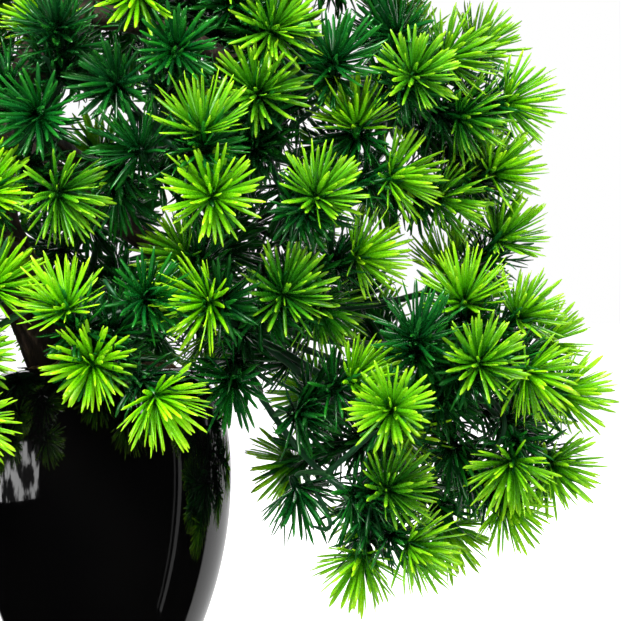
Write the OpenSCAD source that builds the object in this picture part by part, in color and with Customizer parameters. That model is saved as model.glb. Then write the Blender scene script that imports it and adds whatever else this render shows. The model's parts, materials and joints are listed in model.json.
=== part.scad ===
// Artificial tabletop tree: a glossy round pot filled with cement and coir, a bark-covered
// trunk on a steel rod, and ten plug-in limbs that carry green stems with needle tufts.
// The origin is the middle of the pot's flat base, +Z is up and -Y is the front.

/* [Pot] */
// Widest radius of the pot
pot_r = 70.4; // [69:0.1:72]
// Height of the pot's widest ring
pot_belly_z = 97; // [95:1:100]
// Height of the rim
pot_h = 156; // [154:1:158]
// Radius of the curve of the wall below the widest ring
pot_side_r = 220; // [200:5:260]
// Outer radius of the rolled rim
rim_r = 50; // [49:0.5:52]
// Thickness of the pot's wall and floor
pot_wall = 5; // [4:0.5:6]

/* [Filling] */
// Height of the top of the cement
cement_top_z = 135; // [130:1:140]
// Height of the coir at the rim
coir_edge_z = 150; // [149:0.5:151]
// Height of the coir at its middle
coir_top_z = 158; // [156:0.5:160]
// Gap left around the cement as it shrinks
shrink_gap = 0.2; // [0.1:0.05:0.3]
// Radius of the steel anchor rod
rod_r = 5; // [4:0.5:6]

/* [Trunk and limbs] */
// Radius of the steel peg of a limb
peg_r = 4; // [3.5:0.25:4]
// Radial running clearance of a peg in its socket
peg_clearance = 0.05; // [0.02:0.01:0.08]
// Depth of a socket in the trunk
socket_depth = 16; // [14:1:18]
// Length of peg moulded into the limb
peg_grip = 14; // [12:1:16]
// Gap between a limb's end and the trunk's knot
limb_gap = 0.4; // [0.3:0.05:0.6]
// Radius of a limb where it meets the trunk
limb_r = 8; // [7.5:0.25:8.5]
// Radius of a limb at its far end
limb_end_r = 4.5; // [4:0.25:5]
// How far each limb turns either way on its peg, in degrees
limb_swing = 8; // [2:1:8]

/* [Needles] */
// Reach of the stiff inner part of a needle tuft, from its hub
tuft_r = 15; // [14:0.5:15]
// Radius of a tuft's hub
hub_r = 3.6; // [3.2:0.1:4]
// Radius of a green main stem where it leaves the bark
stem_r = 2; // [1.8:0.1:2.2]
// Radius of a side stem at its tuft
stem_end_r = 1.2; // [1:0.1:1.4]

/* [Hidden] */
NEEDLE_GAP = 0.8;              // space kept between the spheres around two tufts
FOOT_Z = 148;                  // the trunk stands in the coir at this height
FOOT_GAP = 0.3;                // space around the trunk's foot in the coir
ROD_BOTTOM_Z = 20;
ROD_TOP_Z = 172;
ROD_X = -19;
KNOT_EXTRA = 5;                // how far a knot stands out past the trunk's bark
KNOT_RIM = 2.5;                // how much wider a knot is than its limb
TRUNK_SIDES = 14;
LIMB_SIDES = 10;
STEM_SIDES = 3;
TUFT_SIDES = 5;
GOLDEN = 137.508;              // golden angle, which spaces points evenly round a pad

// Middle line of the trunk with its radius at each point: it leans left, then comes back.
TRUNK = [
    [[-18, 0, FOOT_Z], 24], [[-22, 0, 162], 22], [[-36, 0, 188], 19], [[-54, 0, 216], 17],
    [[-62, 0, 245], 16], [[-56, 0, 280], 15], [[-38, 0, 318], 14], [[-24, 0, 358], 13],
    [[-16, 0, 400], 12], [[-12, 0, 435], 11], [[-10, 0, 468], 10]
];

// One row a limb: name, the socket's point on the trunk's middle line, the trunk's radius
// there, the peg's direction, and the far end of the bark.
LIMBS = [
    ["right_low", [-56, 0, 280], 15, [0.86, -0.05, -0.51], [62, -5, 186]],
    ["right_high", [-26, 0, 352], 13, [1, -0.05, -0.1], [80, 0, 318]],
    ["right_top", [-14, 0, 418], 11.5, [0.95, 0.1, 0.25], [62, 8, 428]],
    ["front_low", [-56, 0, 220], 17, [0.3, -0.95, -0.1], [-20, -62, 196]],
    ["front_high", [-40, 0, 314], 14, [0.25, -0.97, 0.1], [5, -60, 305]],
    ["left_low", [-60, 0, 240], 16, [-0.97, 0.05, -0.2], [-132, 0, 196]],
    ["left_high", [-20, 0, 378], 12.5, [-1, -0.05, -0.05], [-104, -4, 356]],
    ["back_low", [-50, 0, 293], 14.5, [0.3, 0.95, -0.15], [-5, 78, 262]],
    ["back_high", [-17, 0, 393], 12, [0.15, 0.97, 0.1], [0, 70, 402]],
    ["crown", [-10, 0, 468], 10, [0, 0, 1], [-6, 0, 522]]
];

// Needle tufts placed one by one on each limb: the hub, the way that the tuft faces, and
// "dark" for a tuft of old dark green needles.
PLACED = [
    [ // right_low
        [[100, -62, 196], [0.25, -0.85, 0.4]], [[118, -35, 190], [0.75, -0.35, -0.6]],
        [[138, -48, 216], [0.95, -0.4, 0.2]], [[136, -50, 150], [0.85, -0.4, 0.35]],
        [[106, -34, 132], [0.7, -0.6, -0.3], "dark"], [[106, -22, 92], [0.1, -0.4, -1], "dark"],
        [[155, -50, 92], [0.65, -0.6, 0.3]], [[166, -44, 62], [0.85, -0.4, -0.35]],
        [[142, -18, 54], [-0.3, -0.4, -0.85]], [[184, -30, 142], [0.5, -0.5, -0.6], "dark"],
        [[192, -14, 114], [0.3, -0.3, -1], "dark"], [[196, -46, 192], [-0.15, -0.45, 0.9]],
        [[226, -22, 184], [0.7, -0.35, 0.6]], [[230, -38, 154], [0.7, -0.45, -0.45]],
        [[244, -14, 104], [0.6, -0.5, -0.5]], [[222, -40, 106], [-0.25, -0.5, -0.85]],
        [[216, -12, 226], [0.5, -0.35, 0.75]], [[72, -42, 150], [-0.2, -0.6, -0.8], "dark"],
        [[170, -62, 172], [0, -0.7, 0.6], "dark"], [[252, 14, 142], [0.9, 0.1, 0]],
        [[160, -16, 122], [0.9, -0.3, 0.3]]
    ],
    [ // right_high
        [[117, -80, 247], [0.35, -0.7, 0.6]], [[86, -72, 302], [0.1, -0.9, 0.3]],
        [[94, -74, 335], [0.4, -0.85, 0.15]], [[138, -58, 285], [0, -0.35, 1]],
        [[160, -48, 334], [-0.45, -0.35, 0.85], "dark"], [[186, -34, 323], [0.85, -0.4, 0.35]],
        [[156, -52, 258], [0.9, -0.4, 0.1]], [[194, -32, 292], [0.9, -0.4, -0.2]],
        [[212, -20, 262], [0.9, -0.2, 0.4]], [[126, -72, 318], [0.2, -0.8, 0.5], "dark"],
        [[204, 8, 330], [0.8, 0, 0.6]], [[182, -30, 248], [0.95, -0.25, -0.1]],
        [[70, -76, 360], [-0.1, -0.6, 0.8]]
    ],
    [ // right_top
        [[132, -52, 376], [0.5, -0.7, 0.4]], [[176, -24, 382], [0.9, -0.2, 0.4]]
    ],
    [ // front_low
        [[0, -86, 160], [-0.15, -0.95, -0.1]], [[33, -92, 143], [0.5, -0.55, -0.65]],
        [[-13, -92, 188], [-0.35, -0.5, 0.8]], [[61, -84, 192], [-0.75, -0.65, -0.05]],
        [[-66, -84, 164], [0.6, -0.7, 0.1]], [[-64, -98, 130], [0.9, -0.4, -0.5]],
        [[-54, -76, 200], [0.5, -0.5, 0.6]], [[28, -84, 194], [0.1, -0.9, 0.4], "dark"],
        [[48, -58, 216], [-0.9, -0.3, 0.25]]
    ],
    [ // front_high
        [[58, -102, 280], [-0.15, -0.35, 1]], [[63, -98, 247], [0.05, -1, 0.15]],
        [[12, -84, 306], [0, -1, 0.1], "dark"], [[24, -88, 354], [0, -0.85, 0.2]],
        [[-18, -82, 249], [0.5, -0.7, -0.35]], [[-56, -80, 250], [0.4, -0.7, 0.5]],
        [[26, -90, 270], [-0.3, -0.5, 0.8], "dark"], [[-28, -84, 290], [-0.1, -0.9, 0.3], "dark"],
        [[44, -94, 323], [0.2, -0.9, 0.3], "dark"], [[-18, -86, 334], [-0.3, -0.6, 0.7], "dark"]
    ],
    [], // left_low
    [], // left_high
    [], // back_low
    [], // back_high
    []  // crown
];

// The rounded pad that the rest of each limb's tufts cover: its middle, its half sizes,
// and the numbers of tufts on its outside and on the smaller dark pad inside it.
PADS = [
    [[168, 4, 138], [88, 78, 72], 30, 3],
    [[130, 0, 302], [92, 80, 48], 26, 3],
    [[104, 6, 420], [82, 78, 42], 22, 3],
    [[-20, -72, 166], [52, 34, 34], 10, 1],
    [[4, -70, 300], [62, 32, 52], 12, 2],
    [[-166, -4, 176], [86, 80, 66], 28, 3],
    [[-146, -4, 330], [96, 88, 62], 32, 3],
    [[24, 98, 226], [86, 52, 62], 20, 2],
    [[10, 104, 384], [96, 54, 56], 22, 2],
    [[-14, 0, 508], [114, 100, 74], 38, 4]
];
INNER = 0.5;                   // size of the dark inner pad, as a part of the outer one

LIMB_NAMES = [for (l = LIMBS) l[0]];
PIECES = ["limb", "peg", "stems", "bright_tufts", "dark_tufts"];

// ---- Vectors ----

function unit(v) = v / norm(v);
function sideways(d, up = [0, 0, 1]) = unit(cross(up, d));
function mix(a, b, t) = a * (1 - t) + b * t;
function bend(a, b, c, t) = mix(mix(a, b, t), mix(b, c, t), t);

// A point turned by an angle about the line through a place along a direction
function turned(p, place, axis, angle) =
    let (v = p - place)
    place + v * cos(angle) + cross(axis, v) * sin(angle) + axis * (axis * v) * (1 - cos(angle));

// ---- Swept bodies ----

function ring(middle, along, r, sides, up, rough = 0, seed = 0) =
    let (u = sideways(along, up), w = cross(unit(along), u))
    [for (k = [0 : sides - 1])
        let (a = 360 * k / sides, bump = 1 + rough * sin(a * 4 + seed * 70) * cos(seed * 95 + k * 130))
        middle + r * bump * (cos(a) * u + sin(a) * w)];

function tube_faces(rings, sides) = concat(
    [[for (k = [0 : sides - 1]) k]],
    [for (i = [0 : rings - 2]) for (k = [0 : sides - 1])
        let (a = i * sides + k, b = i * sides + (k + 1) % sides)
        [a, a + sides, b + sides, b]],
    [[for (k = [sides - 1 : -1 : 0]) (rings - 1) * sides + k]]
);

function path_along(p, i) = p[min(i + 1, len(p) - 1)] - p[max(i - 1, 0)];

module swept(path, radii, sides, up, rough, first_along) {
    points = [for (i = [0 : len(path) - 1])
        each ring(path[i], i == 0 ? first_along : path_along(path, i), radii[i], sides, up, rough, i)];
    polyhedron(points, tube_faces(len(path), sides), convexity = 6);
}

// ---- Where each limb sits ----

function peg_axis(i) = unit(LIMBS[i][3]);
function knot_length(i) = LIMBS[i][2] * 1.25 + KNOT_EXTRA;
function knot_face(i) = LIMBS[i][1] + peg_axis(i) * knot_length(i);
function limb_root(i) = knot_face(i) + peg_axis(i) * limb_gap;
function limb_point(i, t) =
    let (root = limb_root(i), far = LIMBS[i][4], reach = norm(far - root))
    bend(root, root + peg_axis(i) * reach * 0.5, far, t);
function is_crown(i) = LIMBS[i][0] == "crown";
function limb_up(i) = is_crown(i) ? [0, 1, 0] : [0, 0, 1];

module along_peg(i) {
    d = peg_axis(i);
    translate(LIMBS[i][1]) rotate([0, acos(d.z), atan2(d.y, d.x)]) children();
}

// ---- Where each tuft sits: [hub, facing, bright] ----

function swung(p, i, angle) = turned(p, LIMBS[i][1], peg_axis(i), angle);

function apart(p, i, q, j) =
    norm(p - q) > 2 * tuft_r + 60 ||
    min([for (a = [-1 : 1]) for (b = [-1 : 1])
        norm(swung(p, i, a * limb_swing) - swung(q, j, b * limb_swing))]) > 2 * tuft_r + NEEDLE_GAP;

function clear_of_own(p, own) =
    len([for (t = own) if (norm(p - t[0]) < 2 * tuft_r + NEEDLE_GAP) 1]) == 0;

function clear_of_others(p, i, done) =
    len([for (j = [0 : 1 : len(done) - 1]) for (t = done[j]) if (!apart(p, i, t[0], j)) 1]) == 0;

function clear_of_wood(p) =
    min([for (t = TRUNK) norm(p - t[0]) - t[1]]) > tuft_r + 8 &&
    (p.z > pot_h + tuft_r + 2 || norm([p.x, p.y]) > pot_r + tuft_r + 2 ||
        (norm([p.x, p.y]) > rim_r + tuft_r + 12 && p.z > pot_h - 14));

function clear_of_limb(p, i) =
    min([for (t = [0 : 0.2 : 1]) norm(p - limb_point(i, t))]) > tuft_r + limb_r;

function pad_points(centre, half, count, size, bright) =
    [for (k = [0 : 1 : count - 1])
        let (
            h = 1 - 2 * (k + 0.5) / count,
            w = sqrt(1 - h * h),
            out = [w * cos(k * GOLDEN), w * sin(k * GOLDEN), h],
            hub = centre + size * [for (n = [0 : 2]) half[n] * out[n]],
            shade = [hub.x, hub.y, (hub.z - 230) * 0.6] * [out.x, out.y, out.z]
        )
        [hub, unit(out + [0, 0, 0.15]), bright && shade > -20]];

function candidates(i) = concat(
    [for (p = PLACED[i]) [p[0], unit(p[1]), p[2] != "dark"]],
    pad_points(PADS[i][0], PADS[i][1], PADS[i][2], 1, true),
    pad_points(PADS[i][0], PADS[i][1], PADS[i][3], INNER, false)
);

function accepted(from, i, done, k = 0, own = []) =
    k == len(from) ? own :
    let (
        p = from[k][0],
        good = clear_of_own(p, own) && clear_of_wood(p) && clear_of_limb(p, i) && clear_of_others(p, i, done)
    )
    accepted(from, i, done, k + 1, good ? concat(own, [from[k]]) : own);

function all_tufts(i = 0, done = []) =
    i == len(LIMBS) ? done : all_tufts(i + 1, concat(done, [accepted(candidates(i), i, done)]));

TUFTS = all_tufts();

// ---- Needle tufts ----

// A point on a tuft: its angle from the way the tuft faces, its turn round that, its distance
function tuft_point(hub, d, tilt, turn, r) =
    let (u = sideways(d, abs(d.z) > 0.9 ? [0, 1, 0] : [0, 0, 1]), w = cross(d, u))
    hub + r * (cos(tilt) * d + sin(tilt) * (cos(turn) * u + sin(turn) * w));

HUB_TILTS = [45, 108];          // the rings of the hub that the needles stand on
NEEDLE_TILTS = [24, 78];        // the needle tips above each ring
TUFT_STEP = 360 / TUFT_SIDES;
COLLAR_BACK = 160;              // the flat collar behind the hub that a stem plugs into

function tuft_points(hub, d) = concat(
    [hub + d * hub_r],
    [for (row = [0 : 1]) for (k = [0 : TUFT_SIDES - 1])
        tuft_point(hub, d, HUB_TILTS[row], k * TUFT_STEP, hub_r)],
    [for (row = [0 : 1]) for (k = [0 : TUFT_SIDES - 1])
        tuft_point(hub, d, NEEDLE_TILTS[row], (k + 0.5) * TUFT_STEP, tuft_r * (k % 2 == row ? 1 : 0.92))],
    [for (k = [0 : TUFT_SIDES - 1]) tuft_point(hub, d, COLLAR_BACK, k * TUFT_STEP, hub_r * 1.5)]
);
TUFT_POINTS = 1 + 5 * TUFT_SIDES;

function tuft_faces(start) =
    let (n = TUFT_SIDES)
    concat(
        [for (k = [0 : n - 1])
            let (a = start + 1 + k, b = start + 1 + (k + 1) % n, tip = start + 1 + 2 * n + k)
            each [[start, tip, a], [a, tip, b], [b, tip, start]]],
        [for (k = [0 : n - 1])
            let (a = start + 1 + k, b = start + 1 + (k + 1) % n, tip = start + 1 + 3 * n + k)
            each [[a, tip, a + n], [a + n, tip, b + n], [b + n, tip, b], [b, tip, a]]],
        [for (k = [0 : n - 1])
            let (a = start + 1 + n + k, b = start + 1 + n + (k + 1) % n, back = start + 1 + 4 * n)
            [a, b, back + (k + 1) % n, back + k]],
        [[for (k = [0 : n - 1]) start + 1 + 4 * n + k]]
    );

module tufts(list) {
    polyhedron(
        [for (t = list) each tuft_points(t[0], t[1])],
        [for (n = [0 : len(list) - 1]) each tuft_faces(n * TUFT_POINTS)],
        convexity = 10
    );
}

// ---- Green stems ----

LEADER_EVERY = 4;               // every fourth bright tuft ends a main stem, the rest sit on side stems
LEADER_STEPS = [0, 0.35, 0.7, 1];
SIDE_STEPS = [0, 1];
COLLAR_DEPTH = 3.4;             // how far behind the hub a stem ends, inside the collar

function nearest(p, list) =
    let (d = [for (q = list) norm(p - q)])
    [for (k = [0 : len(list) - 1]) if (d[k] == min(d)) list[k]][0];

function stem_path(from, tuft, steps) =
    let (far = tuft[0] - tuft[1] * COLLAR_DEPTH, reach = norm(far - from))
    [for (t = steps) bend(from, far - tuft[1] * reach * 0.35, far, t)];

BARK_STARTS = [0.62, 0.8, 0.97];

function bright(i) = [for (t = TUFTS[i]) if (t[2]) t];
function dark(i) = [for (t = TUFTS[i]) if (!t[2]) t];

function leader_paths(i) =
    let (tips = bright(i))
    [for (k = [0 : LEADER_EVERY : len(tips) - 1])
        let (from = nearest(tips[k][0], [for (s = BARK_STARTS) limb_point(i, s)]))
        stem_path(from, tips[k], LEADER_STEPS)];

function side_paths(i) =
    let (
        tips = bright(i),
        rest = concat([for (k = [0 : len(tips) - 1]) if (k % LEADER_EVERY != 0) tips[k]], dark(i)),
        joints = [for (p = leader_paths(i)) each [mix(p[0], p[1], 0.9), mix(p[1], p[2], 0.8)]]
    )
    [for (t = rest) stem_path(nearest(t[0] - t[1] * tuft_r, joints), t, SIDE_STEPS)];

// A stem is a row of short pieces, each the hull of the rings at its two ends
module stem(path, r1, r2) {
    last = len(path) - 1;
    up = abs(unit(path[last] - path[0]).z) > 0.9 ? [0, 1, 0] : [0, 0, 1];
    rings = [for (k = [0 : last]) ring(path[k], path_along(path, k), mix(r1, r2, k / last), STEM_SIDES, up)];
    for (k = [0 : last - 1])
        hull() polyhedron(concat(rings[k], rings[k + 1]), tube_faces(2, STEM_SIDES));
}

// ---- The pot and its filling ----

function belly(z) =
    z <= pot_belly_z
        ? pot_r - pot_side_r + sqrt(pow(pot_side_r, 2) - pow(z - pot_belly_z, 2))
        : rim_r + (pot_r - rim_r) * sqrt(1 - pow((z - pot_belly_z) / (pot_h - pot_belly_z), 2));

POT_STEP = 4;
SHOULDER_Z = 148;               // the rolled rim starts here
function wall_line(inset, z1, z2) =
    [for (k = [0 : ceil((z2 - z1) / POT_STEP)])
        let (z = min(z1 + k * POT_STEP, z2)) [belly(z) - inset, z]];
function backwards(list) = [for (k = [len(list) - 1 : -1 : 0]) list[k]];

module pot() {
    inner = wall_line(pot_wall, pot_wall, SHOULDER_Z);
    color([0.02, 0.02, 0.02])
        rotate_extrude($fn = 128)
            polygon(concat(
                [[0, 0]],
                wall_line(0, 0, SHOULDER_Z),
                [[belly(151), 151], [belly(153.5), 153.5], [belly(155.3), 155.3]],
                [[rim_r, pot_h], [rim_r - 2, 155.5], [rim_r - 3, 154], [rim_r - 2.6, 152]],
                backwards(inner),
                [[0, pot_wall]]
            ));
}

module cement_fill() {
    inset = pot_wall + shrink_gap;
    side = wall_line(inset, pot_wall + shrink_gap, cement_top_z);
    color([0.6, 0.6, 0.58])
        difference() {
            rotate_extrude($fn = 128)
                polygon(concat([[0, side[0].y]], side, [[0, cement_top_z]]));
            translate([ROD_X, 0, ROD_BOTTOM_Z]) cylinder(r = rod_r + 0.05, h = cement_top_z, $fn = 48);
        }
}

module coir_top() {
    inset = pot_wall + shrink_gap;
    low = cement_top_z + shrink_gap;
    side = wall_line(inset, low, SHOULDER_Z);
    edge_r = rim_r - 3.4;
    color([0.36, 0.25, 0.15])
        difference() {
            rotate_extrude($fn = 128)
                polygon(concat(
                    [[0, low]],
                    side,
                    [[edge_r, coir_edge_z], [edge_r * 0.8, mix(coir_edge_z, coir_top_z, 0.6)]],
                    [[edge_r * 0.45, coir_top_z], [0, coir_top_z]]
                ));
            translate([TRUNK[0][0].x, 0, FOOT_Z]) cylinder(r = TRUNK[0][1] * 1.1 + FOOT_GAP, h = 20, $fn = 64);
            translate([ROD_X, 0, low - 1]) cylinder(r = rod_r + 0.05, h = 20, $fn = 48);
        }
}

module anchor_rod() {
    color([0.6, 0.6, 0.62])
        translate([ROD_X, 0, ROD_BOTTOM_Z]) cylinder(r = rod_r, h = ROD_TOP_Z - ROD_BOTTOM_Z, $fn = 48);
}

// ---- Trunk, limbs and pegs ----

module trunk() {
    color([0.24, 0.16, 0.11])
        difference() {
            union() {
                swept([for (t = TRUNK) t[0]], [for (t = TRUNK) t[1]], TRUNK_SIDES, [0, 1, 0], 0.1, [0, 0, 1]);
                for (i = [0 : len(LIMBS) - 1])
                    along_peg(i) cylinder(r = limb_r + KNOT_RIM, h = knot_length(i), $fn = 48);
            }
            translate([ROD_X, 0, FOOT_Z - 1])
                cylinder(r = rod_r + 0.05, h = ROD_TOP_Z - FOOT_Z + 1.5, $fn = 48);
            for (i = [0 : len(LIMBS) - 1])
                along_peg(i)
                    translate([0, 0, knot_length(i) - socket_depth])
                        cylinder(r = peg_r + peg_clearance, h = socket_depth + 1, $fn = 48);
        }
}

LIMB_STEPS = 6;

module limb(i) {
    path = [for (k = [0 : LIMB_STEPS]) limb_point(i, k / LIMB_STEPS)];
    radii = [for (k = [0 : LIMB_STEPS]) mix(limb_r, limb_end_r, k / LIMB_STEPS)];
    color([0.27, 0.18, 0.12])
        difference() {
            swept(path, radii, LIMB_SIDES, limb_up(i), 0.12, peg_axis(i));
            along_peg(i) cylinder(r = peg_r, h = knot_length(i) + limb_gap + peg_grip, $fn = 48);
        }
}

module peg(i) {
    start = knot_length(i) - socket_depth + 1;
    color([0.62, 0.62, 0.64])
        along_peg(i)
            translate([0, 0, start])
                cylinder(r = peg_r, h = knot_length(i) + limb_gap + peg_grip - start, $fn = 48);
}

module stems(i) {
    color([0.05, 0.3, 0.12]) union() {
        for (p = leader_paths(i)) stem(p, stem_r, mix(stem_r, stem_end_r, 0.6));
        for (p = side_paths(i)) stem(p, mix(stem_r, stem_end_r, 0.5), stem_end_r);
    }
}

module bright_tufts(i) color([0.45, 0.8, 0.1]) tufts(bright(i));
module dark_tufts(i) color([0.04, 0.35, 0.15]) tufts(dark(i));

pot();
cement_fill();
coir_top();
anchor_rod();
trunk();
for (i = [0 : len(LIMBS) - 1]) {
    limb(i);
    peg(i);
    stems(i);
    bright_tufts(i);
    dark_tufts(i);
}
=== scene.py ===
import json
import bpy
import numpy as np
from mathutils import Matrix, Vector

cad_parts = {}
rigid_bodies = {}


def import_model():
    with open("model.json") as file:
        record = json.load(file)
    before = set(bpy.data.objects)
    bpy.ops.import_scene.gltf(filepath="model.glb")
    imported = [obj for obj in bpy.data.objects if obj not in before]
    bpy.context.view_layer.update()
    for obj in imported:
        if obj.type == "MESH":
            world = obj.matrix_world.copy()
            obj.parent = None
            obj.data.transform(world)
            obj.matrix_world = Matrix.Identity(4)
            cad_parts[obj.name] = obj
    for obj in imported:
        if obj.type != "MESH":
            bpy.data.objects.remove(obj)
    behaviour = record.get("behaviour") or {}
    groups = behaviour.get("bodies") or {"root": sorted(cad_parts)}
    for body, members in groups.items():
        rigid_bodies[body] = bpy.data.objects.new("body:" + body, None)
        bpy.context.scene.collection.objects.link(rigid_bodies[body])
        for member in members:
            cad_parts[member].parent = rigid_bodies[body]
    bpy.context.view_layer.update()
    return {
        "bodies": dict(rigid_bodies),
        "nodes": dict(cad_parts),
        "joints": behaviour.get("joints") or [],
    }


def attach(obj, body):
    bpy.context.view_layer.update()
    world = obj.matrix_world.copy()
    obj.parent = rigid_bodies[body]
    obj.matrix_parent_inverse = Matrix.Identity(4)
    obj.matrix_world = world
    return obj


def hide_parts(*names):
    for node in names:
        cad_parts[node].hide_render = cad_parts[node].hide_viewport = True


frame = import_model()

# ---------------------------------------------------------------------------------------------
# The studio: a plain pale floor, a level camera, soft boxes above, on the left and on the right,
# and a bright white wall behind. None of it is part of the tree.
# ---------------------------------------------------------------------------------------------

VIEW_TARGET = Vector((0.114, 0.0, 0.1875))    # middle of the framed region, on the pot's axis plane
VIEW_WIDTH = 0.3416                           # metres across the frame at the pot's axis
VIEW_DISTANCE = 1.7

camera = bpy.data.objects.new("camera", bpy.data.cameras.new("camera"))
camera.data.sensor_width = 36.0
camera.data.lens = camera.data.sensor_width * VIEW_DISTANCE / VIEW_WIDTH
camera.location = VIEW_TARGET - Vector((0.0, VIEW_DISTANCE, 0.0))
camera.rotation_euler = (np.pi / 2, 0.0, 0.0)
bpy.context.collection.objects.link(camera)
bpy.context.scene.camera = camera
bpy.context.scene.view_settings.view_transform = "Standard"
bpy.context.scene.view_settings.look = "None"


def soft_box(name, place, target, size, watts):
    """A rectangular studio light at a place, facing a target, that the camera doesn't see"""
    light = bpy.data.lights.new(name, "AREA")
    light.shape = "RECTANGLE"
    light.size, light.size_y = size
    light.energy = watts
    lamp = bpy.data.objects.new(name, light)
    lamp.location = place
    lamp.rotation_euler = (Vector(target) - Vector(place)).to_track_quat("-Z", "Y").to_euler()
    lamp.visible_camera = False
    bpy.context.collection.objects.link(lamp)


soft_box("top_front_box", (-0.25, -0.95, 1.5), (0.08, 0.0, 0.26), (0.75, 0.75), 64)
soft_box("left_box", (-1.37, -0.27, 0.12), (0.0, 0.0, 0.10), (1.3, 0.44), 9)
soft_box("right_strip", (1.209, -0.342, -0.2), (0.04, -0.05, -0.2), (0.08, 1.3), 0.20)
soft_box("right_strip_edge", (1.173, -0.456, -0.2), (0.04, -0.05, -0.2), (0.035, 1.3), 0.05)
soft_box("right_fill", (1.1, -1.1, 1.2), (0.1, 0.0, 0.25), (0.6, 0.6), 11)
soft_box("wall_wash", (0.2, 1.9, 0.9), (0.1, 0.0, 0.3), (2.6, 1.4), 26)


def add_node(tree, kind, links=(), **values):
    """A shader node with values set by socket name, and links given as (input, output socket)"""
    node = tree.nodes.new(kind)
    for socket, value in values.items():
        node.inputs[socket.replace("_", " ")].default_value = value
    for socket, source in links:
        tree.links.new(source, node.inputs[socket])
    return node


def ranged(tree, source, **limits):
    """A value carried in a straight line from one range to another, and held at the ends:
    To_Min + (value - From_Min) / (From_Max - From_Min) * (To_Max - To_Min)"""
    return add_node(tree, "ShaderNodeMapRange", [("Value", source)], **limits).outputs["Result"]


def combined(tree, operation, a, b):
    """The product or the greater of two values"""
    node = add_node(tree, "ShaderNodeMath", [(0, a), (1, b)])
    node.operation = operation
    return node.outputs["Value"]


# Leaves outside the left window break up its light
leafy = bpy.data.lights["left_box"]
leafy.use_nodes = True
tree = leafy.node_tree
place = add_node(tree, "ShaderNodeNewGeometry").outputs["Position"]
leaves = add_node(tree, "ShaderNodeTexNoise", [("Vector", place)], Scale=7.0, Detail=6.0)
gaps = ranged(tree, leaves.outputs[0], From_Min=0.5, From_Max=0.6, To_Min=0.02, To_Max=1.0)
tree.links.new(gaps, tree.nodes["Emission"].inputs["Strength"])

# White light washes the floor behind the tree, and all of it far from the tree
floor_paint = bpy.data.materials.new("pale_floor_paint")
floor_paint.use_nodes = True
tree = floor_paint.node_tree
shader = tree.nodes["Principled BSDF"]
shader.inputs["Base Color"].default_value = (0.8, 0.8, 0.79, 1)
shader.inputs["Roughness"].default_value = 0.85
shader.inputs["Emission Color"].default_value = (1, 1, 1, 1)
where = tree.nodes.new("ShaderNodeTexCoord").outputs["Object"]
behind = add_node(tree, "ShaderNodeSeparateXYZ", [("Vector", where)]).outputs["Y"]
away = add_node(tree, "ShaderNodeVectorMath", [(0, where)])
away.operation = "LENGTH"
washes = []
for source, start, end in ((behind, -0.02, 0.22), (away.outputs["Value"], 0.4, 1.5)):
    wash = ranged(tree, source, From_Min=start, From_Max=end, To_Max=0.95)
    wash.node.interpolation_type = "SMOOTHSTEP"
    washes.append(wash)
seen = add_node(tree, "ShaderNodeLightPath").outputs["Is Camera Ray"]
tree.links.new(combined(tree, "MULTIPLY", combined(tree, "MAXIMUM", *washes), seen),
               shader.inputs["Emission Strength"])

FLOOR_HALF = 40.0
floor_mesh = bpy.data.meshes.new("floor")
floor_mesh.from_pydata(
    [(x * FLOOR_HALF, y * FLOOR_HALF, 0.0) for x, y in ((-1, -1), (1, -1), (1, 1), (-1, 1))],
    [], [(0, 1, 2, 3)])
floor = bpy.data.objects.new("floor", floor_mesh)
bpy.context.collection.objects.link(floor)
floor_mesh.materials.append(floor_paint)
floor.visible_glossy = False

# The white wall starts behind the tree and ends on its left. The room in front is dark, and duller
# in reflections.
world = bpy.data.worlds.new("studio")
bpy.context.scene.world = world
world.use_nodes = True
tree = world.node_tree
where = tree.nodes.new("ShaderNodeTexCoord").outputs["Generated"]
axes = add_node(tree, "ShaderNodeSeparateXYZ", [("Vector", where)]).outputs
seen = add_node(tree, "ShaderNodeLightPath").outputs
room = ranged(tree, seen["Is Glossy Ray"], To_Min=0.09, To_Max=0.006)
wall = combined(tree, "MULTIPLY", ranged(tree, axes["Y"], From_Min=0.42, From_Max=0.455),
                ranged(tree, axes["X"], From_Min=-0.42, From_Max=-0.30))
lit = combined(tree, "MAXIMUM", combined(tree, "MAXIMUM", wall, room), seen["Is Camera Ray"])
tree.links.new(lit, tree.nodes["Background"].inputs["Strength"])
tree.nodes["Background"].inputs["Color"].default_value = (1, 1, 1, 1)

# ---------------------------------------------------------------------------------------------
# The pot: a round stoneware pot with a rolled rim, thrown on a wheel and dipped in a black
# glaze that pools a little. It stands on its flat foot.
# ---------------------------------------------------------------------------------------------

POT_RADIUS = 0.0704
POT_BELLY_Z = 0.097
POT_HEIGHT = 0.156
POT_SIDE_RADIUS = 0.22
RIM_RADIUS = 0.050
POT_WALL = 0.005
SHOULDER_Z = 0.148                            # the rim rolls over from here
POT_SIDES = 192


def pot_wall_radius(z):
    """Outer radius at a height: a large circle's arc below the widest ring, a quarter ellipse above"""
    below = POT_RADIUS - POT_SIDE_RADIUS + np.sqrt(POT_SIDE_RADIUS ** 2 - (z - POT_BELLY_Z) ** 2)
    rise = np.clip((z - POT_BELLY_Z) / (POT_HEIGHT - POT_BELLY_Z), 0, 1)
    above = RIM_RADIUS + (POT_RADIUS - RIM_RADIUS) * np.sqrt(1 - rise ** 2)
    return np.where(z <= POT_BELLY_Z, below, above)


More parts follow.
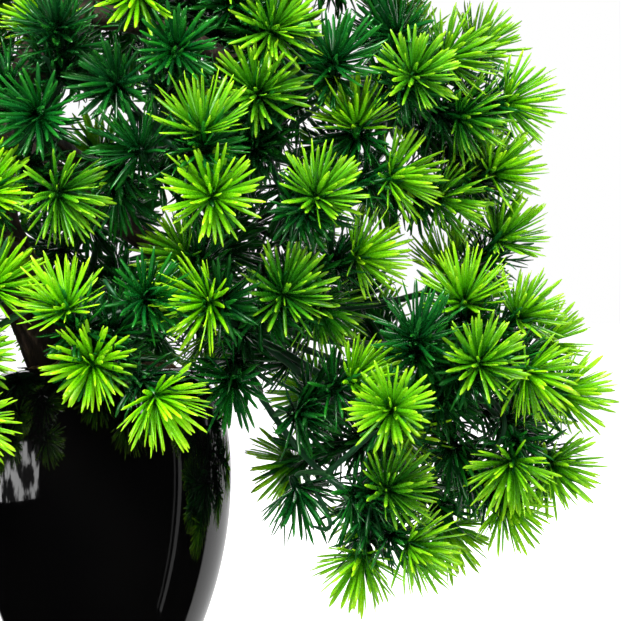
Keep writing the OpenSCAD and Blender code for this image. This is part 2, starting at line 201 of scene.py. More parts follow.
def surface(name, points, face_sets, material):
    """A smooth mesh at the origin: points (n, 3), and one array of faces per number of sides"""
    mesh = bpy.data.meshes.new(name)
    mesh.vertices.add(len(points))
    mesh.vertices.foreach_set("co", np.asarray(points, np.float32).ravel())
    corners = np.concatenate([faces.ravel() for faces in face_sets]).astype(np.int32)
    sides = np.concatenate([np.full(len(faces), faces.shape[1]) for faces in face_sets])
    mesh.loops.add(len(corners))
    mesh.loops.foreach_set("vertex_index", corners)
    mesh.polygons.add(len(sides))
    mesh.polygons.foreach_set("loop_start", (np.cumsum(sides) - sides).astype(np.int32))
    mesh.polygons.foreach_set("use_smooth", np.ones(len(sides), bool))
    mesh.update(calc_edges=True)
    mesh.materials.append(material)
    piece = bpy.data.objects.new(name, mesh)
    bpy.context.collection.objects.link(piece)
    return piece


def revolved(profile, sides, radius_at=None):
    """A profile (n, 2) of radius and height turned about Z: point = (r cos a, r sin a, h). The first
    and last profile points lie on the axis and each become one pole. radius_at(r, h, a) may change r."""
    turn = np.arange(sides) * 2 * np.pi / sides
    r, h = np.broadcast_to(profile[1:-1, None, 0], (len(profile) - 2, sides)), profile[1:-1, None, 1]
    if radius_at:
        r = radius_at(r, h, turn[None])
    rings = np.stack([r * np.cos(turn), r * np.sin(turn), np.broadcast_to(h, r.shape)], 2).reshape(-1, 3)
    poles = np.array([[0, 0, profile[0, 1]], [0, 0, profile[-1, 1]]])
    row, k = np.meshgrid(np.arange(len(profile) - 3), np.arange(sides), indexing="ij")
    a, b = row * sides + k, row * sides + (k + 1) % sides
    walls = np.stack([a, b, b + sides, a + sides], 2).reshape(-1, 4)
    k = np.arange(sides)
    top = (len(profile) - 3) * sides
    fans = np.concatenate([
        np.stack([np.full(sides, len(rings)), (k + 1) % sides, k], 1),
        np.stack([np.full(sides, len(rings) + 1), top + k, top + (k + 1) % sides], 1)])
    return np.concatenate([rings, poles]), [walls, fans]


def new_material(name, roughness, specular=0.5):
    """A new material, its node tree, and the Principled shader in it"""
    made = bpy.data.materials.new(name)
    made.use_nodes = True
    its_shader = made.node_tree.nodes["Principled BSDF"]
    its_shader.inputs["Roughness"].default_value = roughness
    its_shader.inputs["Specular IOR Level"].default_value = specular
    return made, made.node_tree, its_shader


def color_ramp(tree, source, stops):
    """A ramp from a 0 to 1 value to colours, given as (position, (r, g, b)) stops"""
    ramp = add_node(tree, "ShaderNodeValToRGB", [("Fac", source)])
    band = ramp.color_ramp
    band.elements[0].position, band.elements[1].position = stops[0][0], stops[-1][0]
    band.elements[0].color, band.elements[1].color = (*stops[0][1], 1), (*stops[-1][1], 1)
    for position, color in stops[1:-1]:
        band.elements.new(position).color = (*color, 1)
    return ramp.outputs["Color"]


# The natural grain that most of these finishes share: coarse patches, fine grain and small pits
grain = bpy.data.node_groups.new("natural_grain", "ShaderNodeTree")
grain.interface.new_socket("Vector", in_out="INPUT", socket_type="NodeSocketVector")
for label in ("Patch Scale", "Grain Scale", "Pit Scale"):
    grain.interface.new_socket(label, in_out="INPUT", socket_type="NodeSocketFloat")
for label in ("Patches", "Grain", "Pits"):
    grain.interface.new_socket(label, in_out="OUTPUT", socket_type="NodeSocketFloat")
given = grain.nodes.new("NodeGroupInput")
result = grain.nodes.new("NodeGroupOutput")
for label, scale, detail in (("Patches", "Patch Scale", 3.0), ("Grain", "Grain Scale", 6.0)):
    noise = add_node(grain, "ShaderNodeTexNoise", [("Vector", given.outputs["Vector"]),
                                                   ("Scale", given.outputs[scale])], Detail=detail)
    grain.links.new(noise.outputs["Fac"], result.inputs[label])
cells = add_node(grain, "ShaderNodeTexVoronoi", [("Vector", given.outputs["Vector"]),
                                                 ("Scale", given.outputs["Pit Scale"])])
pits = ranged(grain, cells.outputs["Distance"], From_Min=0.08, From_Max=0.2, To_Min=1.0, To_Max=0.0)
grain.links.new(pits, result.inputs["Pits"])


def place_grain(tree, vector, patch, fine, pit):
    """One use of the natural grain group on a coordinate, with its three scales"""
    node = add_node(tree, "ShaderNodeGroup")
    node.node_tree = grain
    tree.links.new(vector, node.inputs["Vector"])
    for label, value in (("Patch Scale", patch), ("Grain Scale", fine), ("Pit Scale", pit)):
        node.inputs[label].default_value = value
    return node.outputs


def mix_value(tree, a, b, share):
    """a * (1 - share) + b * share, for value sockets a and b"""
    node = tree.nodes.new("ShaderNodeMix")
    node.inputs[0].default_value = share
    tree.links.new(a, node.inputs[2])
    tree.links.new(b, node.inputs[3])
    return node.outputs[0]


def bump(tree, height, strength, distance):
    """The normal of a height value"""
    node = add_node(tree, "ShaderNodeBump", [("Height", height)], Strength=strength, Distance=distance)
    return node.outputs["Normal"]


black_glaze, tree, shader = new_material("black_glaze", 0.035)
where = tree.nodes.new("ShaderNodeTexCoord").outputs["Object"]
spots = place_grain(tree, where, 18, 320, 520)
blacks = [(0.3, (0.0005, 0.0005, 0.0006)), (0.7, (0.0014, 0.0013, 0.0013))]
tree.links.new(color_ramp(tree, spots["Patches"], blacks), shader.inputs["Base Color"])
shine = ranged(tree, spots["Grain"], From_Min=0.35, From_Max=0.75, To_Min=0.02, To_Max=0.075)
tree.links.new(shine, shader.inputs["Roughness"])
tree.links.new(bump(tree, mix_value(tree, spots["Patches"], spots["Grain"], 0.06), 0.06, 0.0012),
               shader.inputs["Normal"])

heights = np.concatenate([np.linspace(0.0012, SHOULDER_Z, 70),
                          [0.1495, 0.151, 0.1523, 0.1535, 0.1545, 0.1553]])
outer = np.stack([pot_wall_radius(heights), heights], 1)
rim = np.array([[RIM_RADIUS, 0.156], [RIM_RADIUS - 0.001, 0.15595], [RIM_RADIUS - 0.002, 0.1555],
                [RIM_RADIUS - 0.0027, 0.1548], [RIM_RADIUS - 0.003, 0.154], [RIM_RADIUS - 0.0026, 0.152]])
inner_z = np.linspace(SHOULDER_Z, POT_WALL, 50)
inner = np.stack([pot_wall_radius(inner_z) - POT_WALL, inner_z], 1)
foot = pot_wall_radius(np.array(0.0))
profile = np.concatenate([[[0, 0.0]], [[foot * 0.5, 0.0], [foot - 0.0022, 0.0], [foot - 0.0008, 0.0004]],
                          outer, rim, inner, [[inner[-1, 0] * 0.5, POT_WALL]], [[0, POT_WALL]]])
points, faces = revolved(profile, POT_SIDES)
pot = surface("glazed_pot", points, faces, black_glaze)
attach(pot, "pot_and_trunk")
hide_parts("pot")

# ---------------------------------------------------------------------------------------------
# The cement: a rough grey plug cast in the pot to weigh the tree down, with air holes and sand
# showing on its top. It has shrunk a hair away from the pot.
# ---------------------------------------------------------------------------------------------

cement, tree, shader = new_material("cast_cement", 0.92, 0.3)
where = tree.nodes.new("ShaderNodeTexCoord").outputs["Object"]
sand = place_grain(tree, where, 40, 900, 260)
tone = mix_value(tree, sand["Patches"], sand["Grain"], 0.5)
greys = [(0.3, (0.17, 0.165, 0.15)), (0.55, (0.3, 0.29, 0.27)), (0.75, (0.44, 0.43, 0.4))]
tree.links.new(color_ramp(tree, tone, greys), shader.inputs["Base Color"])
tree.links.new(bump(tree, mix_value(tree, sand["Grain"], sand["Pits"], 0.5), 0.6, 0.0012),
               shader.inputs["Normal"])


def dress(node, material):
    """Gives a CAD node its finished material"""
    slots = frame["nodes"][node].data.materials
    slots.clear()
    slots.append(material)


dress("cement_fill", cement)

# ---------------------------------------------------------------------------------------------
# The coir: a pad of coconut fibre pressed over the cement up to the rim, a loose tangle of tan
# and brown fibres round the foot of the trunk.
# ---------------------------------------------------------------------------------------------

COIR_EDGE_R = RIM_RADIUS - 0.0034
COIR_EDGE_Z = 0.150
COIR_TOP_Z = 0.1625                           # the fluffed-up top stands a little over the rim
COIR_LOW_Z = 0.1352
COIR_GAP = 0.0002                             # between the pad's side and the pot's wall
COIR_SIDES = 96
COIR_RINGS = 26
COIR_FIBRES = 2600
FIBRE_STATIONS, FIBRE_SIDES = 6, 3


def tube_faces(count, stations, sides):
    """Faces of many tubes whose points run tube by tube, ring by ring: walls, and a cap on each end"""
    t, s, k = np.meshgrid(np.arange(count), np.arange(stations - 1), np.arange(sides), indexing="ij")
    a = (t * stations + s) * sides + k
    b = (t * stations + s) * sides + (k + 1) % sides
    walls = np.stack([a, b, b + sides, a + sides], 3).reshape(-1, 4)
    start = np.arange(count)[:, None] * stations * sides
    caps = np.concatenate([start + np.arange(sides)[::-1],
                           start + (stations - 1) * sides + np.arange(sides)])
    return [walls, caps]


def unit(v):
    """Vectors at length one"""
    return v / np.linalg.norm(v, axis=-1, keepdims=True)


def across(along):
    """Two unit vectors square to each direction and to each other: up x d, then d x that"""
    up = np.where(np.abs(along[..., 2:3]) > 0.9, [0.0, 1.0, 0.0], [0.0, 0.0, 1.0])
    u = unit(np.cross(up, along))
    return u, np.cross(unit(along), u)


def tubes(paths, radii, sides, direction=None):
    """Round tubes (m, n, sides, 3) along paths (m, n, 3): point = path + r * (cos a * u + sin a * w)"""
    along = np.gradient(paths, axis=1)
    whole = np.broadcast_to((paths[:, -1:] - paths[:, :1]) if direction is None else direction, paths.shape)
    u = across(whole)[0]
    along = unit(along)
    u = unit(u - (u * along).sum(-1, keepdims=True) * along)
    w = np.cross(along, u)
    a = np.arange(sides) * 2 * np.pi / sides
    ring = np.cos(a)[:, None] * u[..., None, :] + np.sin(a)[:, None] * w[..., None, :]
    return paths[..., None, :] + radii[..., None, None] * ring


def tone_layer(piece, values):
    """Stores a value or colour per point as the piece's own tone layer"""
    layer = piece.data.attributes.new("tone", "FLOAT_COLOR", "POINT")
    colors = np.ones((len(piece.data.vertices), 4), np.float32)
    colors[:, :values.shape[1]] = values
    layer.data.foreach_set("color", colors.ravel())


def read_tone(tree):
    """The three values of the tone layer"""
    layer = tree.nodes.new("ShaderNodeAttribute")
    layer.attribute_name = "tone"
    return add_node(tree, "ShaderNodeSeparateColor", [("Color", layer.outputs["Color"])]).outputs


def coir_height(x, y):
    """Top of the coir: a low dome with a few soft waves"""
    r = np.hypot(x, y) / COIR_EDGE_R
    dome = COIR_EDGE_Z + (COIR_TOP_Z - COIR_EDGE_Z) * np.clip(1.25 * (1 - r ** 2), 0, 1)
    return dome + 0.0009 * np.sin(x * 210 + 1) * np.cos(y * 190) + 0.0005 * np.sin(x * 480 + y * 390)


coir, tree, shader = new_material("coconut_fibre", 0.9, 0.25)
where = tree.nodes.new("ShaderNodeTexCoord").outputs["Object"]
matted = place_grain(tree, where, 90, 1400, 700)
tone = mix_value(tree, matted["Patches"], matted["Grain"], 0.6)
browns = [(0.3, (0.05, 0.020, 0.007)), (0.5, (0.17, 0.075, 0.025)), (0.72, (0.40, 0.19, 0.07))]
tree.links.new(color_ramp(tree, tone, browns), shader.inputs["Base Color"])
tree.links.new(bump(tree, matted["Grain"], 0.8, 0.0015), shader.inputs["Normal"])

side_z = np.linspace(COIR_LOW_Z, SHOULDER_Z, 8)
side = np.stack([pot_wall_radius(side_z) - POT_WALL - COIR_GAP, side_z], 1)
top_r = np.linspace(COIR_EDGE_R, 0.002, COIR_RINGS)
profile = np.concatenate([[[0, COIR_LOW_Z], [0.03, COIR_LOW_Z]], side,
                          np.stack([top_r, np.zeros(COIR_RINGS)], 1), [[0, COIR_TOP_Z]]])
points, faces = revolved(profile, COIR_SIDES)
top = np.arange(len(points) - 2) >= (1 + len(side)) * COIR_SIDES
points[:-2][top, 2] = coir_height(points[:-2][top, 0], points[:-2][top, 1])
pad = surface("coir_pad", points, faces, coir)

rng = np.random.default_rng(11)
spread_r = (COIR_EDGE_R - 0.002) * np.sqrt(rng.uniform(0.02, 1, COIR_FIBRES))
spread_a = rng.uniform(0, 2 * np.pi, COIR_FIBRES)
middle = np.stack([spread_r * np.cos(spread_a), spread_r * np.sin(spread_a)], 1)
heading = rng.uniform(0, 2 * np.pi, COIR_FIBRES)
length = rng.uniform(0.006, 0.02, COIR_FIBRES)
s = np.linspace(-0.5, 0.5, FIBRE_STATIONS)
bow = rng.normal(0, 0.004, COIR_FIBRES)
along = np.stack([np.cos(heading), np.sin(heading)], 1)
beside = np.stack([-along[:, 1], along[:, 0]], 1)
flat = middle[:, None] + (length[:, None] * s)[..., None] * along[:, None]
flat = flat + (bow[:, None] * (1 - 4 * s ** 2))[..., None] * beside[:, None]
inside = np.minimum(1, (COIR_EDGE_R - 0.0008) / np.maximum(np.hypot(flat[..., 0], flat[..., 1]), 1e-6))
flat = flat * inside[..., None]
lift = rng.uniform(0.0, 0.0022, COIR_FIBRES)[:, None] * (1 - 3 * s ** 2) + 0.0002
fibre_paths = np.concatenate([flat, (coir_height(flat[..., 0], flat[..., 1]) + lift)[..., None]], 2)
fibre_r = np.broadcast_to(rng.uniform(0.00012, 0.0003, (COIR_FIBRES, 1)), (COIR_FIBRES, FIBRE_STATIONS))
points = tubes(fibre_paths, fibre_r, FIBRE_SIDES)

loose_fibre, tree, shader = new_material("loose_coconut_fibre", 0.7, 0.35)
shade = read_tone(tree)
tans = [(0.0, (0.06, 0.028, 0.012)), (0.5, (0.22, 0.12, 0.05)), (1.0, (0.5, 0.33, 0.16))]
tree.links.new(color_ramp(tree, shade["Red"], tans), shader.inputs["Base Color"])
fibres = surface("coir_fibres", points.reshape(-1, 3),
                 tube_faces(COIR_FIBRES, FIBRE_STATIONS, FIBRE_SIDES), loose_fibre)
tone_layer(fibres, np.repeat(rng.uniform(0, 1, COIR_FIBRES), FIBRE_STATIONS * FIBRE_SIDES)[:, None])
for piece in (pad, fibres):
    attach(piece, "pot_and_trunk")
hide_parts("coir_top")

# ---------------------------------------------------------------------------------------------
# The steel: one rod cast into the cement holds the trunk, and each limb has a turned steel peg
# that plugs into a socket in the trunk, so the limb can be swung by hand.
# ---------------------------------------------------------------------------------------------

steel, tree, shader = new_material("turned_steel", 0.3)
shader.inputs["Metallic"].default_value = 1.0
where = tree.nodes.new("ShaderNodeTexCoord").outputs["Object"]
turning = place_grain(tree, where, 60, 2400, 900)
silvers = [(0.3, (0.38, 0.37, 0.35)), (0.7, (0.56, 0.56, 0.56))]
tree.links.new(color_ramp(tree, turning["Patches"], silvers), shader.inputs["Base Color"])
tree.links.new(ranged(tree, turning["Grain"], To_Min=0.2, To_Max=0.45), shader.inputs["Roughness"])
tree.links.new(bump(tree, turning["Grain"], 0.15, 0.0003), shader.inputs["Normal"])

BRANCHES = [body[:-len("_branch")] for body in frame["bodies"] if body.endswith("_branch")]
dress("anchor_rod", steel)
for branch in BRANCHES:
    dress(branch + "_peg", steel)

# ---------------------------------------------------------------------------------------------
# The trunk: hard brown plastic moulded over the rod with deep wandering bark, leaning left.
# It has a bored knot with a flat face for each limb.
# ---------------------------------------------------------------------------------------------

TRUNK_LINE = np.array([
    [-18, 0, 148], [-22, 0, 162], [-36, 0, 188], [-54, 0, 216], [-62, 0, 245], [-56, 0, 280],
    [-38, 0, 318], [-24, 0, 358], [-16, 0, 400], [-12, 0, 435], [-10, 0, 468]]) / 1000
TRUNK_RADII = np.array([24, 22, 19, 17, 16, 15, 14, 13, 12, 11, 10]) / 1000
TRUNK_RINGS = 190
TRUNK_SIDES = 84
BARK_DEPTH = 0.13
BARK_LIFT = 1.06                              # the ridges' tops stand this much out of the radius
KNOT_R = 0.0105
KNOT_BARK_R = 0.009                           # bark covers the knot outside this, so not its bore
KNOT_LENGTH = 0.022
KNOT_SIDES = 60
KNOT_RINGS = 22
SOCKET_R = 0.00405
SOCKET_DEPTH = 0.016
LIMB_START = 0.0084                           # from a hinge's place to the limb's root
KNOT_GAP = 0.0004                             # from the knot's flat face to the limb's root


def bark_relief(turn, s):
    """Height of the bark from 0 to 1: ridges 1 - |sin(n * turn + wander)| of two sizes that wander
    with the distance s along the wood in metres, broken across by a finer wave"""
    wander = 1.2 * np.sin(2 * turn + 47 * s) + 0.9 * np.sin(3 * turn - 71 * s + 1.7)
    wander = wander + 0.5 * np.sin(5 * turn + 160 * s)
    broad = 1 - np.abs(np.sin(3 * turn + wander + 12 * s))
    narrow = 1 - np.abs(np.sin(6 * turn - 1.6 * wander + 31 * s + 1))
    broken = 0.5 + 0.5 * np.sin(9 * turn + 2.5 * wander) * np.sin(310 * s + 2 * wander)
    return 0.48 * broad + 0.34 * narrow + 0.18 * broken


def smooth_line(knots, values, count):
    """A Catmull-Rom curve of count points through knots, and the values run straight between them"""
    ends = np.concatenate([2 * knots[:1] - knots[1:2], knots, 2 * knots[-1:] - knots[-2:-1]])
    t = np.linspace(0, len(knots) - 1 - 1e-9, count)
    i = t.astype(int)
    f = (t - i)[:, None]
    p0, p1, p2, p3 = ends[i], ends[i + 1], ends[i + 2], ends[i + 3]
    line = 2 * p1 + (p2 - p0) * f + (2 * p0 - 5 * p1 + 4 * p2 - p3) * f ** 2
    line = line + (3 * p1 - p0 - 3 * p2 + p3) * f ** 3
    return 0.5 * line, np.interp(t, np.arange(len(knots)), values)


def bark_tube(name, path, radii, sides, material, seed, round_end):
    """A bark-covered tube of radius r * (lift - depth + depth * relief). Over its last round_end it
    closes as sqrt(1 - x^2), with x from 0 to 1. The tone layer holds the relief."""
    s = np.concatenate([[0], np.cumsum(np.linalg.norm(np.diff(path, axis=0), axis=1))])
    turn = np.arange(sides) * 2 * np.pi / sides
    relief = bark_relief(turn[None] + seed, s[:, None] + seed)
    closing = np.sqrt(np.clip(1 - ((s - s[-1] + round_end) / round_end).clip(0, 1) ** 2, 0.02, 1))[:, None]
    reach = closing * (BARK_LIFT - BARK_DEPTH + BARK_DEPTH * relief)
    round_tube = tubes(path[None], radii[None], sides, direction=(path[-1] - path[0]))[0]
    points = path[:, None] + (round_tube - path[:, None]) * reach[..., None]
    piece = surface(name, points.reshape(-1, 3), tube_faces(1, len(path), sides), material)
    tone_layer(piece, relief.reshape(-1, 1))
    return piece


bark, tree, shader = new_material("moulded_bark", 0.72, 0.35)
where = tree.nodes.new("ShaderNodeTexCoord").outputs["Object"]
strands = add_node(tree, "ShaderNodeMapping", [("Vector", where)], Scale=(1.0, 1.0, 0.22))
crust = place_grain(tree, strands.outputs["Vector"], 120, 900, 420)
tone = mix_value(tree, read_tone(tree)["Red"], crust["Grain"], 0.45)
bark_colors = [(0.2, (0.004, 0.002, 0.0013)), (0.45, (0.022, 0.011, 0.006)),
               (0.62, (0.055, 0.030, 0.017)), (0.85, (0.13, 0.080, 0.048))]
tree.links.new(color_ramp(tree, tone, bark_colors), shader.inputs["Base Color"])
tree.links.new(ranged(tree, crust["Patches"], To_Min=0.55, To_Max=0.9), shader.inputs["Roughness"])
tree.links.new(bump(tree, mix_value(tree, crust["Grain"], crust["Pits"], 0.3), 0.7, 0.0016),
               shader.inputs["Normal"])

path, radii = smooth_line(TRUNK_LINE, TRUNK_RADII, TRUNK_RINGS)
# The trunk keeps its full girth at the foot, and is up to a thirteenth slimmer above
flare = 1 + 0.08 * np.exp(-np.arange(TRUNK_RINGS) / 12.0)
trunk = bark_tube("trunk_bark", path, radii * flare / flare.max(), TRUNK_SIDES, bark, 0.0, 0.006)

JOINTS = {joint["child"]: joint for joint in frame["joints"]}
PEG_AXES = {b: unit(np.array(JOINTS[b + "_branch"]["axis"], float)) for b in BRANCHES}
LIMB_ROOTS = {b: np.array(JOINTS[b + "_branch"]["pos_m"], float) + PEG_AXES[b] * LIMB_START
              for b in BRANCHES}
wall = np.linspace(0.0, KNOT_LENGTH - 0.0006, KNOT_RINGS)
profile = np.concatenate([
    [[0, 0.0]], np.stack([np.full(KNOT_RINGS, KNOT_R), wall], 1),
    [[KNOT_R - 0.0002, KNOT_LENGTH - 0.0002], [KNOT_R - 0.0007, KNOT_LENGTH],
     [0.0055, KNOT_LENGTH], [SOCKET_R, KNOT_LENGTH], [SOCKET_R, KNOT_LENGTH - 0.008],
     [SOCKET_R, KNOT_LENGTH - SOCKET_DEPTH], [0, KNOT_LENGTH - SOCKET_DEPTH]]])
knot_points, knot_faces, knot_tones = [], [[], []], []
for number, branch in enumerate(BRANCHES):
    points, faces = revolved(
        profile, KNOT_SIDES,
        lambda r, h, a: np.where(r > KNOT_BARK_R, r * (0.94 + 0.10 * bark_relief(a, h * 0.6 + number)), r))
    d = PEG_AXES[branch]
    u, w = across(d)
    base = LIMB_ROOTS[branch] - d * (KNOT_GAP + KNOT_LENGTH)
    shift = sum(len(p) for p in knot_points)
    turn = np.arctan2(points[:, 1], points[:, 0])
    knot_tones.append(bark_relief(turn, points[:, 2] * 0.6 + number)[:, None])
    knot_points.append(base + points[:, :1] * u + points[:, 1:2] * w + points[:, 2:] * d)
    knot_faces[0].append(faces[0] + shift)
    knot_faces[1].append(faces[1] + shift)
knots = surface("trunk_knots", np.concatenate(knot_points), [np.concatenate(f) for f in knot_faces],
                bark)
tone_layer(knots, np.concatenate(knot_tones))
for piece in (trunk, knots):
    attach(piece, "pot_and_trunk")
    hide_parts("trunk")

# ---------------------------------------------------------------------------------------------
# The limbs: ten short branches of the same moulded bark, each bending away from its peg and
# tapering to where the green stems leave it.
# ---------------------------------------------------------------------------------------------

LIMB_ENDS = {                                   # where each limb's middle line ends, in mm
    "right_low": (62, -5, 186), "right_high": (80, 0, 318), "right_top": (62, 8, 428),
    "front_low": (-20, -62, 196), "front_high": (5, -60, 305), "left_low": (-132, 0, 196),
    "left_high": (-104, -4, 356), "back_low": (-5, 78, 262), "back_high": (0, 70, 402),
    "crown": (-6, 0, 522)}
LIMB_R, LIMB_END_R = 0.008, 0.0045
LIMB_RINGS, LIMB_SIDES = 90, 44
LIMB_BARK_SHIFT = 0.37                          # each limb starts at its own place in the bark


def bend(a, b, c, t):
    """The quadratic bend from a to c pulled towards b: (1-t)^2 a + 2t(1-t) b + t^2 c"""
    return (1 - t) ** 2 * a + 2 * t * (1 - t) * b + t ** 2 * c


def limb_line(branch, t):
    """Points of a limb's middle line at parameters t (n,)"""
    root, far = LIMB_ROOTS[branch], np.array(LIMB_ENDS[branch]) / 1000
    pull = root + PEG_AXES[branch] * np.linalg.norm(far - root) * 0.5
    return bend(root, pull, far, np.asarray(t)[:, None])


for number, branch in enumerate(BRANCHES):
    t = np.linspace(0, 1, LIMB_RINGS)
    limb = bark_tube(branch + "_bark", limb_line(branch, t), LIMB_R + (LIMB_END_R - LIMB_R) * t,
                     LIMB_SIDES, bark, number + LIMB_BARK_SHIFT, 0.004)
    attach(limb, branch + "_branch")
    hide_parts(branch + "_limb")

# ---------------------------------------------------------------------------------------------
# The stems: green plastic shoots with a wire core, ribbed with leaf scars. Every fourth tuft
# ends a main stem from the bark, and the rest sit on side stems pushed onto the main ones.
# ---------------------------------------------------------------------------------------------

TUFT_TRIANGLES = 48                             # of one tuft in the CAD nodes
COLLAR_TO_HUB = 0.0054 * np.cos(np.radians(20)) # from the collar's circle to the hub's middle
COLLAR_DEPTH = 0.0034                           # a stem ends this far behind the hub's middle
LEADER_EVERY = 4
BARK_STARTS = (0.62, 0.8, 0.97)                 # where main stems leave the limb, as shares of its length
LEADER_RADII = (0.002, 0.00152)                 # at the bark, and at the tuft
SIDE_RADII = (0.0016, 0.0012)
BARE_RADII = (0.0013, 0.0011)
LEADER_STATIONS, SIDE_STATIONS, BARE_STATIONS = 40, 26, 16
STEM_SIDES = 8
RIB_STEP = 0.0034                               # between two leaf scars
BARE_SHOOTS = 4                                 # side shoots of each limb that carry no tuft


def tuft_places(node):
    """Hub (n, 3) and facing (n, 3) of each tuft in a CAD node. A tuft is one run of triangles, and
    its smallest triangle lies on the round collar, whose circle gives the hub's axis."""
    mesh = frame["nodes"][node].data
    points = np.empty(len(mesh.vertices) * 3)
    mesh.vertices.foreach_get("co", points)
    mesh.calc_loop_triangles()
    corners = np.empty(len(mesh.loop_triangles) * 3, int)
    mesh.loop_triangles.foreach_get("vertices", corners)
    tufts = points.reshape(-1, 3)[corners].reshape(-1, TUFT_TRIANGLES, 3, 3)
    longest = np.linalg.norm(tufts - np.roll(tufts, 1, axis=2), axis=3).max(axis=2)
    a, b, c = tufts[np.arange(len(tufts)), longest.argmin(axis=1)].transpose(1, 0, 2)
    ab, ac = b - a, c - a
    normal = np.cross(ab, ac)
    lift = np.cross(normal, ab) * (ac ** 2).sum(1)[:, None]
    lift = lift + np.cross(ac, normal) * (ab ** 2).sum(1)[:, None]
    middle = a + lift / (2 * (normal ** 2).sum(1))[:, None]
    normal = unit(normal)
    facing = normal * np.sign(((tufts.mean(axis=(1, 2)) - middle) * normal).sum(1))[:, None]
    return middle + facing * COLLAR_TO_HUB, facing


def stem_lines(starts, hubs, facings, count):
    """Middle lines (m, count, 3) of stems: bends from each start that come into the hub from behind"""
    far = hubs - facings * COLLAR_DEPTH
    reach = np.linalg.norm(far - starts, axis=1)[:, None]
    t = np.linspace(0, 1, count)[None, :, None]
    return bend(starts[:, None], (far - facings * reach * 0.35)[:, None], far[:, None], t)


def nearest(points, choices):
    """For each point, the nearest of the choices"""
    return choices[np.linalg.norm(points[:, None] - choices[None], axis=2).argmin(axis=1)]


def ribbed(radius, end_radius, lines, rng):
    """Radii along stems: a taper with small leaf-scar rings, r * (0.94 + 0.16 * |sin(k * s)|)"""
    s = np.linspace(0, 1, lines.shape[1])[None]
    reach = np.linalg.norm(lines[:, -1] - lines[:, 0], axis=1)[:, None]
    rings = np.abs(np.sin(s * reach / RIB_STEP * np.pi / 2 + rng.uniform(0, 3, reach.shape)))
    return (radius + (end_radius - radius) * s) * (0.94 + 0.16 * rings)


stem_plastic, tree, shader = new_material("stem_plastic", 0.4, 0.45)
where = tree.nodes.new("ShaderNodeTexCoord").outputs["Object"]
mould = place_grain(tree, where, 70, 1500, 800)
shade = read_tone(tree)
tone = mix_value(tree, mould["Patches"], shade["Red"], 0.5)
stem_greens = [(0.25, (0.004, 0.035, 0.012)), (0.5, (0.008, 0.075, 0.022)), (0.8, (0.03, 0.16, 0.03))]
tree.links.new(color_ramp(tree, tone, stem_greens), shader.inputs["Base Color"])
tree.links.new(bump(tree, mould["Grain"], 0.4, 0.0005), shader.inputs["Normal"])

TUFTS, STEM_LINES = {}, {}
for number, branch in enumerate(BRANCHES):
    rng = np.random.default_rng(300 + number)
    tips, tip_facings = tuft_places(branch + "_bright_tufts")
    inner_tips, inner_facings = tuft_places(branch + "_dark_tufts")
    leads = np.arange(len(tips)) % LEADER_EVERY == 0
    leader_lines = stem_lines(nearest(tips[leads], limb_line(branch, BARK_STARTS)), tips[leads],
                              tip_facings[leads], LEADER_STATIONS)
    low, middle, high = (leader_lines[:, round(part * (LEADER_STATIONS - 1))] for part in (0, 0.35, 0.7))
    joints = np.concatenate([low * 0.1 + middle * 0.9, middle * 0.2 + high * 0.8])
    hubs = np.concatenate([tips[~leads], inner_tips])
    facings = np.concatenate([tip_facings[~leads], inner_facings])
    side_lines = stem_lines(nearest(hubs - facings * 0.015, joints), hubs, facings, SIDE_STATIONS)
    bare = rng.permutation(len(side_lines))[:BARE_SHOOTS]
    bare_from = side_lines[bare, SIDE_STATIONS // 2 - 1]
    bare_way = unit(facings[bare] + rng.normal(0, 0.35, (len(bare), 3)))
    bare_to = bare_from + bare_way * rng.uniform(0.028, 0.042, (len(bare), 1))
    bare_pull = bare_from + facings[bare] * 0.018 + rng.normal(0, 0.014, (len(bare), 3))
    t = np.linspace(0, 1, BARE_STATIONS)
    bare_lines = bend(bare_from[:, None], bare_pull[:, None], bare_to[:, None], t[None, :, None])
    points, faces, tones, shift = [], [], [], 0
    for lines, ends in ((leader_lines, LEADER_RADII), (side_lines, SIDE_RADII), (bare_lines, BARE_RADII)):
        girth = ribbed(*ends, lines, rng)
        if lines is bare_lines:                 # the tip is rounded
            girth = girth * np.sqrt(1 - 0.9 * t ** 12)
        made = tubes(lines, girth, STEM_SIDES)
        points.append(made.reshape(-1, 3))
        tones.append(np.repeat(rng.uniform(0, 1, len(lines)), lines.shape[1] * STEM_SIDES))
        faces += [part + shift for part in tube_faces(len(lines), lines.shape[1], STEM_SIDES)]
        shift += len(points[-1])
    stems = surface(branch + "_shoots", np.concatenate(points), faces, stem_plastic)
    tone_layer(stems, np.concatenate(tones)[:, None])
    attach(stems, branch + "_branch")
    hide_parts(branch + "_stems")
    TUFTS[branch] = {"bright": (tips, tip_facings), "dark": (inner_tips, inner_facings)}
    STEM_LINES[branch] = [leader_lines, side_lines]

# ---------------------------------------------------------------------------------------------
# The needle tufts: each a moulded plastic whorl of flat blunt needles round a hub, pressed onto
# the end of a stem. Lime ones cover the outside of each limb, deep green ones sit behind them.
# ---------------------------------------------------------------------------------------------

NEEDLE_HALF_WIDTH = 0.00128
NEEDLE_HALF_THICK = 0.00048
NEEDLE_ROOT = 0.0018                            # a needle starts this far from the hub's middle
GOLDEN = np.pi * (3 - np.sqrt(5))
BOSS_STATIONS = np.array([-0.0062, -0.005, -0.002, 0.0008, 0.0024, 0.003])
BOSS_RADII = np.array([0.0013, 0.0020, 0.0026, 0.0026, 0.0018, 0.0006])
BOSS_SIDES = 8
POT_CLEARANCE = 0.0015                          # a needle's end keeps this far off the pot
NEEDLE_END = 0.003                              # it is looked for this far past the needle's length
SHORTER, SHORTENINGS = 0.85, 6                  # each shortening, and how many a needle may get
